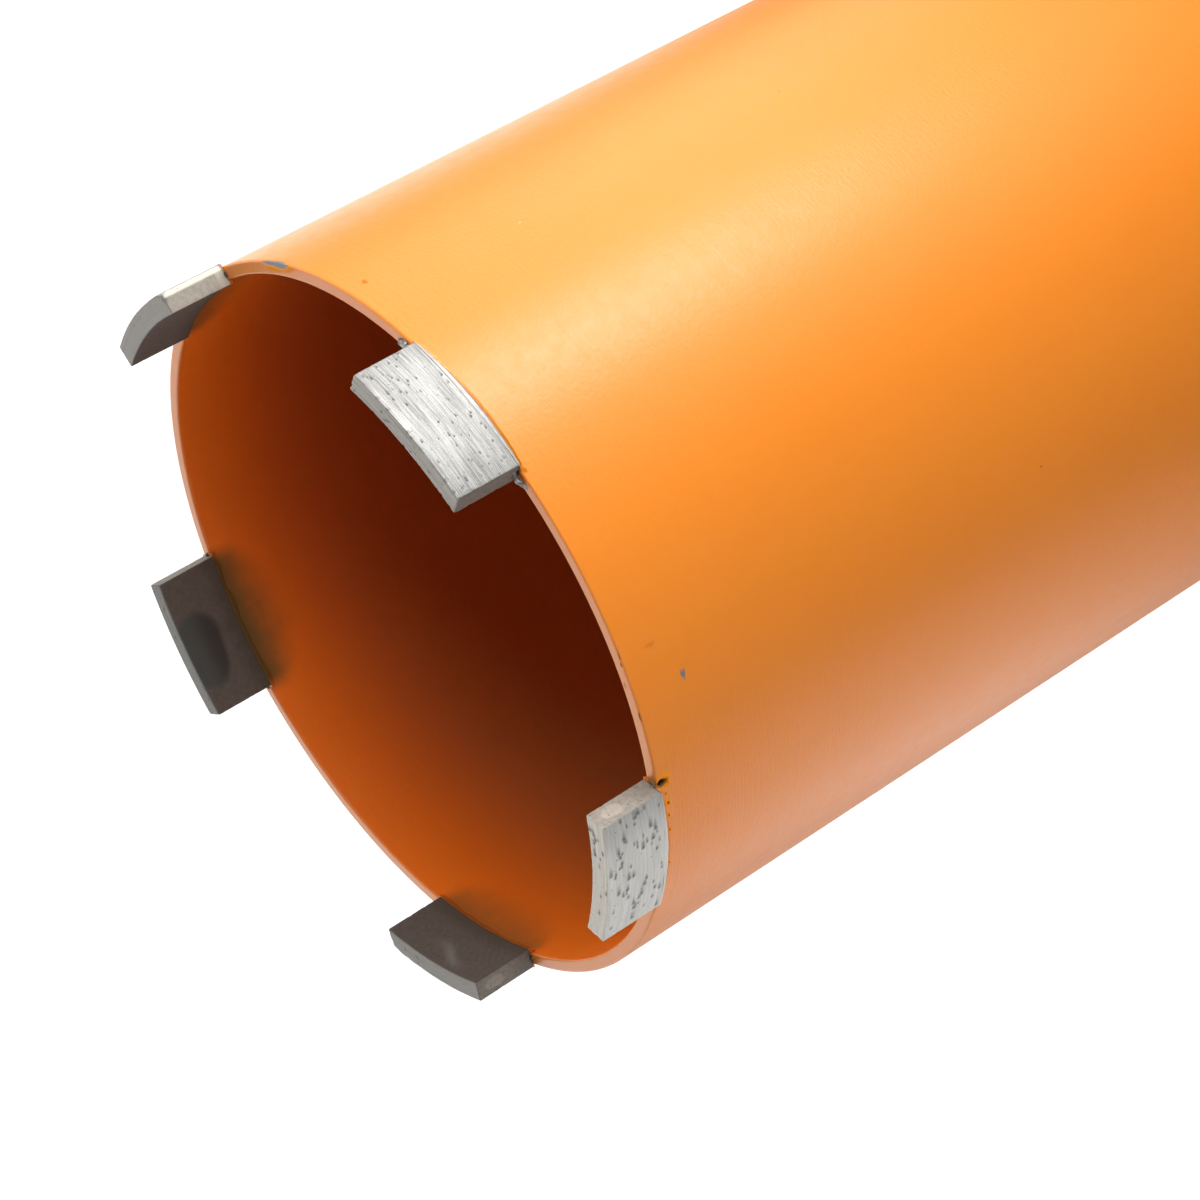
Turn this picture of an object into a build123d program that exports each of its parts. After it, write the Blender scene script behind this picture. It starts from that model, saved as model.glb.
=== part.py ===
"""Dry diamond core bit: a welded steel barrel with a threaded hub and five diamond segments.

Units are millimetres. The origin is the centre of the hub's free end face, and +Z runs along the
bit's axis, from the hub towards the cutting tips.
"""

from build123d import *
import os

# ---- driving dimensions ----------------------------------------------------------------------

# Cutting crown
cutting_diameter = 117.0  # across the outer faces of the segments
segment_count = 5
segment_height = 10.2  # from the barrel's rim to the cutting face
segment_length = 23.0  # between the two parallel ends
relief_outside = 0.6  # how far a segment stands proud of the barrel outside
relief_inside = 0.7  # and inside
segment_edge = 0.25  # break of the edges round the cutting face

# Laser-welded seam under each segment, deepest at its middle
seam_depth = 1.0
seam_end_depth = 0.4
seam_crown = 0.2  # how far the ground bead stands proud of the barrel's walls

# Barrel
barrel_length = 150.0
barrel_wall = 2.1
rim_chamfer = 0.25
back_chamfer = 0.5

# End plate
plate_thickness = 8.0
plate_recess = 2.5  # from the barrel's back end in to the plate's back face
plate_edge = 0.5
slip_fit = 0.05  # radial clearance of what is pushed together before welding

# Hub, bored through for a G 1/2 female thread
hub_length = 22.0  # from the free end face to the plate's back face
hub_diameter = 34.0
hub_edge = 0.8
hub_flats = 30.0  # across the two wrench flats
hub_flat_length = 14.0
spigot_diameter = 28.0  # the turned-down end that passes through the plate
thread_major_diameter = 20.955
thread_entry = 1.0  # chamfer at each end of the thread

# Fillet welds
plate_weld_leg = 3.0  # along the plate's back face
hub_weld_leg = 4.0
weld_bulge = 0.3  # rise of a weld's crest above the straight line between its toes

# ---- sizes worked out from them --------------------------------------------------------------

segment_outer_radius = cutting_diameter / 2
barrel_radius = segment_outer_radius - relief_outside
barrel_bore_radius = barrel_radius - barrel_wall
segment_inner_radius = barrel_bore_radius - relief_inside
segment_pitch = 360 / segment_count

plate_back_z = hub_length
plate_inner_z = plate_back_z + plate_thickness
barrel_back_z = plate_back_z - plate_recess
rim_z = barrel_back_z + barrel_length

hub_radius = hub_diameter / 2
thread_radius = thread_major_diameter / 2


# ---- shared profiles -------------------------------------------------------------------------


def seam_blank(angle):
    """Block of the seam's lens-shaped profile, lying along the radius at this angle."""
    along = Vector(0, 1, 0).rotate(Axis.Z, angle)
    outward = Vector(1, 0, 0).rotate(Axis.Z, angle)
    facing = Plane((0, 0, rim_z), x_dir=along, z_dir=outward)
    half = segment_length / 2
    with BuildPart() as blank:
        with BuildSketch(facing.offset(segment_inner_radius / 2)):
            with BuildLine():
                Polyline((-half, -seam_end_depth), (-half, 0), (half, 0), (half, -seam_end_depth))
                ThreePointArc((half, -seam_end_depth), (0, -seam_depth), (-half, -seam_end_depth))
            make_face()
        extrude(amount=segment_outer_radius)
    return blank.part


def weld_fillet(wall_radius, wall_leg, plate_leg):
    """Ring of fillet weld between an upright wall and the plate's back face.

    The plate's leg is negative where the weld lies inside the wall.
    """
    toe_wall = Vector(wall_radius, plate_back_z - wall_leg)
    root = Vector(wall_radius, plate_back_z)
    toe_plate = Vector(wall_radius + plate_leg, plate_back_z)
    middle = (toe_wall + toe_plate) / 2
    crest = middle + (middle - root).normalized() * weld_bulge
    with BuildPart() as weld:
        with BuildSketch(Plane.XZ):
            with BuildLine():
                Polyline(toe_wall, root, toe_plate, crest, close=True)
            make_face()
        revolve(axis=Axis.Z)
    return weld.part


def write(piece, label):
    """Label a finished piece and write its STEP file."""
    piece.label = label
    export_step(piece, f"parts/{label}.step")


os.makedirs("parts", exist_ok=True)

# ---- barrel: rolled steel tube, its rim let in for the five seams ------------------------------

with BuildPart() as barrel:
    with BuildSketch(Plane.XY.offset(barrel_back_z)):
        Circle(barrel_radius)
        Circle(barrel_bore_radius, mode=Mode.SUBTRACT)
    extrude(amount=barrel_length)
    rim_edges = barrel.edges().group_by(Axis.Z)[-1].filter_by(GeomType.CIRCLE)
    chamfer(rim_edges, length=min(rim_chamfer, 0.4 * barrel_wall))
    back_edges = barrel.edges().group_by(Axis.Z)[0].filter_by(GeomType.CIRCLE)
    chamfer(back_edges, length=min(back_chamfer, 0.4 * barrel_wall))
    for seat in range(segment_count):
        add(seam_blank(seat * segment_pitch), mode=Mode.SUBTRACT)

write(barrel.part, "barrel")

# ---- segments and their seams ------------------------------------------------------------------

for seat in range(segment_count):
    angle = seat * segment_pitch
    outward = Vector(1, 0, 0).rotate(Axis.Z, angle)
    rim = Plane((0, 0, rim_z), x_dir=outward, z_dir=(0, 0, 1))

    with BuildPart() as segment:
        with BuildSketch(rim):
            Circle(segment_outer_radius)
            Circle(segment_inner_radius, mode=Mode.SUBTRACT)
            with Locations((segment_outer_radius, 0)):
                Rectangle(segment_outer_radius, segment_length, mode=Mode.INTERSECT)
        extrude(amount=segment_height)
        chamfer(segment.edges().group_by(Axis.Z)[-1], length=segment_edge)
    write(segment.part, f"segment_{seat + 1}")

    with BuildPart() as segment_weld:
        with BuildSketch(rim.offset(-seam_depth)):
            Circle(barrel_radius + seam_crown)
            Circle(barrel_bore_radius - seam_crown, mode=Mode.SUBTRACT)
        extrude(amount=seam_depth)
        add(seam_blank(angle), mode=Mode.INTERSECT)
    write(segment_weld.part, f"segment_weld_{seat + 1}")

# ---- end plate: disc that closes the barrel's back and carries the hub -------------------------

with BuildPart() as end_plate:
    with BuildSketch(Plane.XY.offset(plate_back_z)):
        Circle(barrel_bore_radius - slip_fit)
        Circle(spigot_diameter / 2 + slip_fit, mode=Mode.SUBTRACT)
    extrude(amount=plate_thickness)
    inner_rim = end_plate.edges().group_by(Axis.Z)[-1].sort_by(SortBy.RADIUS)[-1]
    chamfer(inner_rim, length=plate_edge)

write(end_plate.part, "end_plate")

# ---- hub: turned boss with two wrench flats, shouldered against the plate ----------------------

with BuildPart() as hub:
    with BuildSketch():
        Circle(hub_radius)
    extrude(amount=hub_length)
    chamfer(hub.edges().group_by(Axis.Z)[0], length=hub_edge)
    with BuildSketch():
        Circle(2 * hub_radius)
        Rectangle(hub_flats, 4 * hub_radius, mode=Mode.SUBTRACT)
    extrude(amount=hub_flat_length, mode=Mode.SUBTRACT)
    with BuildSketch(Plane.XY.offset(hub_length)):
        Circle(spigot_diameter / 2)
    extrude(amount=plate_thickness)
    with BuildSketch():
        Circle(thread_radius)
    extrude(amount=hub_length + plate_thickness, mode=Mode.SUBTRACT)
    bore_ends = hub.edges().filter_by(GeomType.CIRCLE).sort_by(SortBy.RADIUS)[:2]
    chamfer(bore_ends, length=thread_entry)

write(hub.part, "hub")

# ---- welds that hold the plate and the hub -----------------------------------------------------

write(weld_fillet(barrel_bore_radius, plate_recess - back_chamfer, -plate_weld_leg), "plate_weld")
write(weld_fillet(hub_radius, hub_weld_leg, hub_weld_leg), "hub_weld")
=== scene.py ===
# Looks of the diamond core bit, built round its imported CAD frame. Blender lengths are metres.
# Shapes are worked out in millimetres, in the CAD frame, and scaled by MM as they become meshes.

import math

import bmesh
import bpy
import numpy as np
from mathutils import Matrix, Vector


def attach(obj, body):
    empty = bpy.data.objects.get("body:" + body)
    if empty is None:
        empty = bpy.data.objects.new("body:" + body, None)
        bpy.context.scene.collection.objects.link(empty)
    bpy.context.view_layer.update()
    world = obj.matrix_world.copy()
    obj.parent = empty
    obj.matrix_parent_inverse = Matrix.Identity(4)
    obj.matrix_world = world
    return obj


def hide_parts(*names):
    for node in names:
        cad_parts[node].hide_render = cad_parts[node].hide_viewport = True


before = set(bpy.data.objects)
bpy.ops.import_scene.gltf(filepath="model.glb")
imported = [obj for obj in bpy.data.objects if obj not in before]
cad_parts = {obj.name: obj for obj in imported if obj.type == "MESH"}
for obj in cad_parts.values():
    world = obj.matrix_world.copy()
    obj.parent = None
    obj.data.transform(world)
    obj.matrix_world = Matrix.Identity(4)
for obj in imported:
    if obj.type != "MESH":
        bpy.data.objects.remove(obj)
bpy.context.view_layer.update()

MM = 0.001


# ---- sizes read from the frame -----------------------------------------------------------------


def node_points(node):
    """A CAD node's vertices in millimetres."""
    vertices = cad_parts[node].data.vertices
    co = np.empty(len(vertices) * 3)
    vertices.foreach_get("co", co)
    return co.reshape(-1, 3) / MM


def radial_span(points):
    """Least and greatest distance from the axis."""
    radius = np.hypot(points[:, 0], points[:, 1])
    return radius.min(), radius.max()


barrel_points = node_points("barrel")
BORE_R, BARREL_R = radial_span(barrel_points)
BACK_Z, RIM_Z = barrel_points[:, 2].min(), barrel_points[:, 2].max()

segment_points = node_points("segment_1")
TIP_Z = segment_points[:, 2].max()
SEGMENT_H = TIP_Z - RIM_Z
SEGMENT_L = np.ptp(segment_points[:, 1])
SEGMENT_R = radial_span(segment_points)[1]
SEGMENT_T = SEGMENT_R - radial_span(segment_points)[0]
SEGMENT_COUNT = sum(1 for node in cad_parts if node.startswith("segment_") and node[8:].isdigit())
PITCH = 360 / SEGMENT_COUNT

seam_points = node_points("segment_weld_1")
SEAM_DEPTH = RIM_Z - seam_points[:, 2].min()
SEAM_END_DEPTH = 0.4  # as in the solids

hub_points = node_points("hub")
HUB_TOP_Z = hub_points[:, 2].max()
THREAD_R = radial_span(hub_points)[0]
PLATE_Z = node_points("end_plate")[:, 2].min()


# ---- mesh helpers ------------------------------------------------------------------------------


def smooth_step(low, high, x):
    """0 below low, 1 above high, smooth between. Low may be the larger, which turns it round."""
    t = np.clip((np.asarray(x, float) - low) / (high - low), 0, 1)
    return t * t * (3 - 2 * t)


def wave_noise(x, seed, wavelength, waves=7):
    """Smooth noise along a line, about -1 to 1, whose shortest wave is the given wavelength."""
    rng = np.random.default_rng(seed)
    total = np.zeros(np.shape(x))
    for _ in range(waves):
        length = wavelength * rng.uniform(1, 5)
        total += np.sin(2 * np.pi * (np.asarray(x) / length + rng.uniform()))
    return total / math.sqrt(waves) / 1.6


def make_piece(name, points, faces, material, replaces=None, marks=None, sharp_angle=180):
    """Mesh object from points in millimetres and quads, with its material, on the one rigid body.

    The marks are named values on the points, one number or three each, which the material reads.
    """
    mesh = bpy.data.meshes.new(name)
    mesh.from_pydata((points.reshape(-1, 3) * MM).tolist(), [], faces.tolist())
    for key, values in (marks or {}).items():
        values = np.asarray(values, float)
        kind, field = ("FLOAT_VECTOR", "vector") if values.ndim == 2 else ("FLOAT", "value")
        mesh.attributes.new(key, kind, "POINT").data.foreach_set(field, values.ravel())
    mesh.validate()
    shell = bmesh.new()
    shell.from_mesh(mesh)
    bmesh.ops.recalc_face_normals(shell, faces=shell.faces)
    shell.to_mesh(mesh)
    shell.free()
    mesh.shade_smooth()
    if sharp_angle < 180:
        mesh.set_sharp_from_angle(angle=math.radians(sharp_angle))
    mesh.materials.append(material)
    piece = bpy.data.objects.new(name, mesh)
    bpy.context.scene.collection.objects.link(piece)
    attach(piece, "root")
    if replaces:
        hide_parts(replaces)
    return piece


def grid_faces(rows, columns, wrap_rows=False, wrap_columns=False):
    """Quads of a grid of points numbered row by row."""
    row = np.arange(rows if wrap_rows else rows - 1)
    column = np.arange(columns if wrap_columns else columns - 1)
    r, c = np.meshgrid(row, column, indexing="ij")
    r2, c2 = (r + 1) % rows, (c + 1) % columns
    corners = (r * columns + c, r * columns + c2, r2 * columns + c2, r2 * columns + c)
    return np.stack(corners, -1).reshape(-1, 4)


def greatest(values):
    """Greatest of several arrays at each point, and 0 at least."""
    return np.maximum(0, np.max(list(values), axis=0))


# ---- material helpers --------------------------------------------------------------------------


class Nodes:
    """Short calls to build the nodes of a tree."""

    def __init__(self, tree):
        self.tree = tree

    def node(self, kind, inputs=(), **settings):
        made = self.tree.nodes.new(kind)
        for key, value in settings.items():
            setattr(made, key, value)
        for key, value in dict(inputs).items():
            self.plug(value, made.inputs[key])
        return made

    def plug(self, value, socket):
        if isinstance(value, bpy.types.NodeSocket):
            self.tree.links.new(value, socket)
        else:
            socket.default_value = value

    def mark(self, name):
        return self.node("ShaderNodeAttribute", attribute_name=name).outputs["Fac"]

    def mark_vector(self, name):
        return self.node("ShaderNodeAttribute", attribute_name=name).outputs["Vector"]

    def place(self):
        return self.node("ShaderNodeTexCoord").outputs["Object"]

    def scaled(self, vector, scale):
        return self.node("ShaderNodeMapping", {"Vector": vector, "Scale": scale}).outputs["Vector"]

    def noise(self, vector, scale, detail=2.0, roughness=0.5):
        inputs = {"Vector": vector, "Scale": scale, "Detail": detail, "Roughness": roughness}
        return self.node("ShaderNodeTexNoise", inputs).outputs["Fac"]

    def math(self, operation, a, b=0.0, c=0.0):
        made = self.node("ShaderNodeMath", {0: a, 1: b, 2: c}, operation=operation)
        return made.outputs["Value"]

    def ramp(self, value, low, high, to_low=0.0, to_high=1.0):
        inputs = {"Value": value, "From Min": low, "From Max": high, "To Min": to_low, "To Max": to_high}
        return self.node("ShaderNodeMapRange", inputs, interpolation_type="SMOOTHSTEP").outputs["Result"]

    def mix(self, factor, a, b):
        made = self.node("ShaderNodeMix", data_type="RGBA")
        for socket, value in ((made.inputs[0], factor), (made.inputs[6], a), (made.inputs[7], b)):
            self.plug(value, socket)
        return made.outputs[2]

    def specks(self, vector, scale, share, size):
        """Round dots in a share of the cells of a cell pattern."""
        cells = self.node("ShaderNodeTexVoronoi", {"Vector": vector, "Scale": scale}, feature="F1")
        dot = self.ramp(cells.outputs["Distance"], size, size * 0.6)
        chosen = self.node("ShaderNodeSeparateColor", {"Color": cells.outputs["Color"]}).outputs["Red"]
        return self.math("MULTIPLY", dot, self.math("LESS_THAN", chosen, share))

    def bump(self, height, distance, strength=1.0, normal=None):
        inputs = {"Height": height, "Distance": distance, "Strength": strength}
        if normal is not None:
            inputs["Normal"] = normal
        return self.node("ShaderNodeBump", inputs).outputs["Normal"]

    def greatest(self, *values):
        top = values[0]
        for value in values[1:]:
            top = self.math("MAXIMUM", top, value)
        return top

    def toned(self, colour):
        """The colour made brighter or darker by the tone that the points carry, which holds painted light and
        shade.
        """
        made = self.node("ShaderNodeVectorMath", {0: colour, "Scale": self.mark("tone")}, operation="SCALE")
        return made.outputs["Vector"]

    def toward(self, way, azimuth):
        """Cosine of the angle between a direction and this azimuth on the level."""
        side = math.radians(azimuth)
        inputs = {0: way, 1: (math.cos(side), math.sin(side), 0)}
        return self.node("ShaderNodeVectorMath", inputs, operation="DOT_PRODUCT").outputs["Value"]

    def layered(self, colour, layers):
        """The colour with others laid over it, each where the points carry its mark."""
        for name, layer in layers.items():
            colour = self.mix(self.mark(name), colour, layer)
        return colour


class Shader(Nodes):
    """A Principled material, with the nodes that feed it."""

    def __init__(self, name, **constants):
        self.material = bpy.data.materials.new(name)
        self.material.use_nodes = True
        super().__init__(self.material.node_tree)
        self.principled = self.tree.nodes["Principled BSDF"]
        self.finish(**constants)

    def finish(self, **links):
        for socket, value in links.items():
            self.plug(value, self.principled.inputs[socket.replace("_", " ")])
        return self.material


ORANGE = (0.91, 0.258, 0.0125, 1)
ORANGE_CLOUD = (0.84, 0.222, 0.010, 1)
INSIDE_ORANGE = (0.97, 0.202, 0.012, 1)
# painted shade: deep in the bore the paint is coloured darker and duller
DEEP_BORE_SHADE = (0.58, 0.225, 0.070, 1)
FRESH_ORANGE = (1.0, 0.33, 0.02, 1)
# thick paint runs, and painted shade along the seams' raised paint edge
THICK_PAINT_AND_SHADE = (0.40, 0.135, 0.004, 1)
BURNT = (0.100, 0.085, 0.026, 1)
BARE_STEEL = (0.30, 0.30, 0.30, 1)
# near black: painted shade in the pinholes, the hollow and the notch; also dark spots and stains
HOLE_SHADE_AND_STAIN = (0.012, 0.008, 0.005, 1)
WHITE_SPECK = (0.9, 0.82, 0.7, 1)
DARK_SPECK = (0.22, 0.07, 0.02, 1)
COAT_GLOSS = 0.5
SHINE_LOST = 0.45  # taken from the gloss and added to the roughness where a mark dulls the coat


def coat_nodes(s, place):
    """Satin powder coat over turned steel: its colour, roughness and normal."""
    tone = s.noise(place, 60.0, 3.0)
    colour = s.mix(s.ramp(tone, 0.3, 0.7, 0.0, 0.10), ORANGE, ORANGE_CLOUD)
    for scale, strength, speck in ((150.0, 0.6, WHITE_SPECK), (130.0, 0.7, DARK_SPECK)):
        colour = s.mix(s.math("MULTIPLY", s.specks(place, scale, 0.03, 0.03), strength), colour, speck)
    rough = s.ramp(s.noise(place, 400.0, 2.0), 0.2, 0.8, 0.29, 0.36)
    peel = s.bump(s.noise(place, 1500.0, 2.0), 0.00005, 0.7)
    turned = s.noise(s.scaled(place, (18.0, 18.0, 3200.0)), 1.0, 4.0, 0.7)
    return colour, rough, s.bump(turned, 0.00005, 0.7, peel)


def dulled(s, rough, *marks):
    """The coat's roughness and gloss, once these marks have taken its shine away."""
    dull = s.greatest(*(s.mark(name) for name in marks))
    return s.math("MULTIPLY_ADD", dull, SHINE_LOST, rough), s.math("MULTIPLY_ADD", dull, -SHINE_LOST, COAT_GLOSS)


def paint_material():
    """The coat where nothing marks it."""
    s = Shader("orange_paint", Specular_IOR_Level=COAT_GLOSS)
    colour, rough, normal = coat_nodes(s, s.place())
    return s.finish(Base_Color=colour, Roughness=rough, Normal=normal)


def marked_paint_material():
    """The coat on the barrel, with the marks that the barrel's points carry."""
    s = Shader("orange_paint_marked")
    place = s.place()
    colour, rough, normal = coat_nodes(s, place)
    # inside, the paint goes over to a darker, duller colour with depth: painted shade
    colour = s.mix(s.mark("inner"), colour, s.mix(s.mark("deep"), INSIDE_ORANGE, DEEP_BORE_SHADE))
    smoke = s.noise(place, 330.0, 4.0, 0.6)
    colour = s.mix(s.math("MULTIPLY", s.mark("scorch"), s.ramp(smoke, 0.15, 0.75, 0.80, 1.12)), colour, BURNT)
    colour = s.layered(colour, {"fresh": FRESH_ORANGE, "thick": THICK_PAINT_AND_SHADE, "bare": BARE_STEEL, "pit": HOLE_SHADE_AND_STAIN})
    rough, gloss = dulled(s, rough, "fresh", "thick", "pit")
    shine = {"Roughness": rough, "Specular_IOR_Level": gloss, "Metallic": s.math("MULTIPLY", s.mark("bare"), 0.7)}
    return s.finish(Base_Color=colour, Normal=normal, **shine)


GROUND = (0.58, 0.57, 0.54, 1)
GROUND_DARK = (0.20, 0.195, 0.185, 1)
CUT_FRONT = (0.33, 0.308, 0.270, 1)
CUT_DARK = (0.115, 0.108, 0.095, 1)
RAW_END = (0.33, 0.30, 0.255, 1)
RAW_END_DARK = (0.17, 0.15, 0.125, 1)
# GLINT: painted glints, bright specks of colour for grains catching the light
GLINT = (0.66, 0.62, 0.54, 1)
RAW_INSIDE = (0.116, 0.093, 0.077, 1)
RAW_INSIDE_DARK = (0.082, 0.067, 0.055, 1)
STAIN = (0.060, 0.066, 0.060, 1)
STAIN_DARK = (0.034, 0.030, 0.025, 1)
SMOKE = (0.185, 0.168, 0.146, 1)
SCORCHED_INSIDE = (0.060, 0.050, 0.032, 1)
CREAM = (0.42, 0.40, 0.34, 1)
SMEAR = (0.13, 0.13, 0.13, 1)
# near black: painted shade in the pits of the segments
PIT_SHADE = (0.035, 0.035, 0.038, 1)


def ground_nodes(s, grain):
    """Metal ground lengthwise, in fine streaks: its colour, and the streaks alone."""
    streak = s.noise(s.scaled(grain, (0.12, 6.5, 6.5)), 1.0, 6.0, 0.8)
    broad = s.noise(s.scaled(grain, (0.09, 0.9, 0.9)), 1.0, 2.0)
    streaks = s.math("MULTIPLY_ADD", broad, 0.25, streak)
    low = s.mix(s.mark("contrast"), GROUND, GROUND_DARK)
    metal = s.mix(s.ramp(streaks, 0.44, 0.78), low, GROUND)
    return s.toned(metal), streak


def front_nodes(s, streak):
    """Front face, with its grinding lines."""
    lines = s.mix(s.mark("contrast"), CUT_FRONT, CUT_DARK)
    return s.mix(s.ramp(streak, 0.32, 0.70), lines, CUT_FRONT)


def end_nodes(s, grain, mottle):
    """Sand-blasted end: mottled, with painted glints on its grains, and cream where the weld wiped it and where an
    eased edge has its painted highlight.
    """
    # painted glints: bright specks in the colour stand in for light off the grains
    glint = s.ramp(s.noise(grain, 9.0, 3.0, 0.8), 0.60, 0.72)
    raw = s.mix(s.ramp(mottle, 0.35, 0.75, 0.0, 0.55), RAW_END, RAW_END_DARK)
    raw = s.mix(s.math("MULTIPLY", glint, 0.75), raw, GLINT)
    return s.mix(s.mark("band"), raw, CREAM)


def inside_nodes(s, grain, mottle):
    """Inner face as it was sintered, dark, with its scorch, smoke and stain."""
    inside = s.mix(s.ramp(mottle, 0.3, 0.75), RAW_INSIDE, RAW_INSIDE_DARK)
    inside = s.mix(s.math("MULTIPLY", s.mark("scorch"), 0.8), inside, SCORCHED_INSIDE)
    inside = s.mix(s.mark("smoke"), inside, SMOKE)
    height = s.node("ShaderNodeSeparateXYZ", {0: grain}).outputs["Y"]
    return s.mix(s.mark("stain"), inside, s.mix(s.ramp(height, 8.8, 4.8), STAIN, STAIN_DARK))


def segment_material():
    """Sintered diamond segment: ground outside and in front, sand-blasted at its ends, dark inside."""
    s = Shader("diamond_segment", Roughness=0.5)
    grain = s.mark_vector("grain")
    ground, streak = ground_nodes(s, grain)
    mottle = s.noise(grain, 1.4, 5.0, 0.7)
    front = s.mix(s.mark("front"), GROUND, front_nodes(s, streak))
    cut = s.toned(s.mix(s.mark("end"), front, end_nodes(s, grain, mottle)))
    colour = s.mix(s.greatest(s.mark("front"), s.mark("end")), ground, cut)
    colour = s.mix(s.mark("inside"), colour, inside_nodes(s, grain, mottle))

    ragged = s.ramp(s.noise(grain, 2.2, 3.0, 0.6), 0.25, 0.6, 0.35, 1.0)
    smear = s.math("MULTIPLY", s.mark("smear"), ragged)
    grit = s.math("MULTIPLY", s.specks(grain, 1.1, 0.35, 0.16), s.math("SUBTRACT", 1.0, s.mark("inside")))
    colour = s.mix(s.math("MULTIPLY", smear, 0.72), colour, SMEAR)
    colour = s.mix(s.math("MULTIPLY", grit, 0.7), colour, SMEAR)
    # painted shade: the pits are coloured near black
    colour = s.mix(s.math("MULTIPLY", s.mark("pit_shade"), s.mark("black")), colour, PIT_SHADE)

    dull = s.greatest(s.mark("end"), s.mark("inside"), smear, s.mark("pit_shade"))
    metallic = s.ramp(dull, 0.0, 1.0, 0.75, 0.15)
    rough = s.ramp(s.math("MULTIPLY_ADD", streak, -0.22, dull), -0.2, 1.0, 0.46, 0.70)
    fine = s.bump(s.noise(grain, 7.0, 3.0, 0.7), 0.00006, 0.5)
    normal = s.bump(streak, 0.00008, 0.8, fine)
    return s.finish(Base_Color=colour, Metallic=metallic, Roughness=rough, Normal=normal)


def bare_metal_material(name, colour, dark, roughness, metallic):
    """Uneven bare metal, for weld beads and cut threads."""
    s = Shader(name, Metallic=metallic)
    place = s.place()
    mottle = s.noise(place, 900.0, 4.0, 0.6)
    tone = s.mix(s.ramp(mottle, 0.3, 0.7), colour, dark)
    rough = s.ramp(mottle, 0.3, 0.7, roughness * 0.8, roughness * 1.25)
    normal = s.bump(s.noise(place, 4000.0, 2.0), 0.00004, 0.5)
    return s.finish(Base_Color=tone, Roughness=rough, Normal=normal)


BEAD, BEAD_DARK = (0.36, 0.35, 0.33, 1), (0.09, 0.085, 0.08, 1)
BURNT_BEAD, BURNT_BEAD_DARK = (0.115, 0.075, 0.040, 1), (0.040, 0.028, 0.016, 1)
CUT_STEEL, CUT_STEEL_DARK = (0.50, 0.49, 0.47, 1), (0.38, 0.37, 0.35, 1)

paint = paint_material()
marked_paint = marked_paint_material()
segment_metal = segment_material()
weld_metal = bare_metal_material("weld_bead", BEAD, BEAD_DARK, 0.48, 0.7)
burnt_weld = bare_metal_material("burnt_weld", BURNT_BEAD, BURNT_BEAD_DARK, 0.55, 0.2)
thread_steel = bare_metal_material("cut_steel", CUT_STEEL, CUT_STEEL_DARK, 0.3, 0.9)

# ---- barrel ------------------------------------------------------------------------------------

SEAT_ANGLES = [PITCH * seat for seat in range(SEGMENT_COUNT)]
HALF_L = SEGMENT_L / 2


def seat_offset(angle):
    """Degrees from the nearest segment's middle, and that segment's number from 0."""
    seat = np.round(np.asarray(angle) / PITCH)
    return angle - seat * PITCH, seat.astype(int) % SEGMENT_COUNT


def on_seat(number, along, radius, z):
    """Points at a segment's seat, at a distance along it from its middle, a radius and a height."""
    seat = math.radians(SEAT_ANGLES[number])
    radial = np.sqrt(radius**2 - along**2)
    x = radial * math.cos(seat) - along * math.sin(seat)
    y = radial * math.sin(seat) + along * math.cos(seat)
    return np.stack([x, y, z], -1)


def seam_line(along):
    """Depth of the seam's lower edge below the rim, at a distance along the segment."""
    rise = SEAM_DEPTH - SEAM_END_DEPTH
    arc = (HALF_L**2 + rise**2) / (2 * rise)
    inside = np.abs(along) < HALF_L
    depth = SEAM_DEPTH - (arc - np.sqrt(np.maximum(arc**2 - np.asarray(along) ** 2, 0)))
    return np.where(inside, depth, 0)


def spot(angle, depth, at_angle, at_depth, across, down, ragged=0.25, seed=1):
    """Ragged blotch on a wall: 1 inside, 0 outside. Its half sizes are in millimetres."""
    gap = (np.asarray(angle) - at_angle + 180) % 360 - 180
    x = gap * math.radians(1) * BARREL_R / across
    y = (np.asarray(depth) - at_depth) / down
    turn = np.arctan2(y, x)
    edge = 1 + ragged * (np.sin(3 * turn + seed) + 0.6 * np.sin(5 * turn + 2.3 * seed))
    return smooth_step(1.25, 0.75, np.hypot(x, y) / edge)


# Depths below the rim of the rows of points on the walls, closer together where there are marks.
OUTER_DEPTHS = (0.45, 0.6, 0.8, 1.0, 1.2, 1.4, 1.7, 2.0, 2.4, 2.8, 3.0, 3.2, 3.4, 3.8, 4.4, 4.9, 5.3, 6.0)
OUTER_DEPTHS += (6.8, 7.2, 7.5, 7.8, 8.05, 8.3, 8.55, 8.8, 9.2, 10, 12, 15, 20, 28, 40, 60, 85, 115, 140)
INNER_DEPTHS = (0.5, 0.8, 1.2, 1.6, 2.0, 2.5, 3.0, 3.6, 4.3, 5, 6, 7, 8, 9.5, 11, 14, 18, 25, 38, 60, 90, 125)
SLEEVE_DEPTH = 2.4  # how far each seam's skin reaches over the barrel, below the rim
SLEEVE_HALF = HALF_L + 0.3  # and to each side of the segment's middle
RIM_ROUND = 0.28
BACK_ROUND = 0.5
COLUMNS = 1080


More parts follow.
